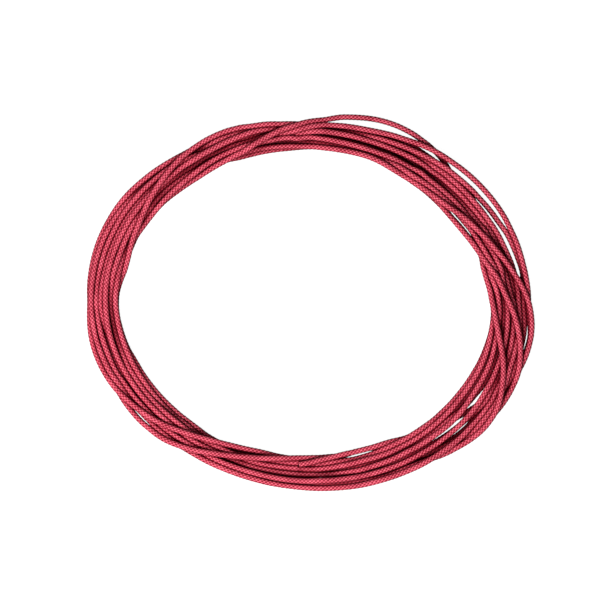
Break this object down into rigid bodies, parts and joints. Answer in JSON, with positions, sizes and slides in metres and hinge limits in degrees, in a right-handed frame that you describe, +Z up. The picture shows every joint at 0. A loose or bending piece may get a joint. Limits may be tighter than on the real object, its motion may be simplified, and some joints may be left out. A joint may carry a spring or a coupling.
{
  "type": "racket string coil",
  "caption": "Loose oval coil of racket string lying flat, its turns packed side by side and crossing over each other, with a blunt free end that lifts.",
  "frame": {"origin": "under the middle of the coil, on the surface it lies on", "axes": "+Z up out of the plane of the coil, +X along the oval's long direction, towards the side where the outer turns stand apart"},
  "size_m": [0.1036, 0.0868, 0.0042],
  "materials": {
    "string": "fine braided grain under a thin satin coating",
    "string_top": "fine braided grain under a thin satin coating",
    "core": "cut filament"
  },
  "bodies": {
    "coil": {"coil_bundle": "string", "crossing_turn_right_upper": "string", "crossing_turn_right_middle": "string", "crossing_turn_right_lower": "string", "crossing_turn_top_left": "string", "crossing_turn_lower_left": "string", "crossing_turn_bottom_left": "string", "right_outer_turn": "string", "top_right_loose_turn": "string_top"},
    "free_end": {"free_end_wrap": "string_top", "free_end_core": "core"}
  },
  "joints": [
    {"name": "free_end_lift", "type": "hinge", "parent": "coil", "child": "free_end", "pos_m": [0.01867, -0.03211, 0.00355], "axis": [-0.2743, 0.9616, 0], "range_deg": [0, 35]}
  ]
}
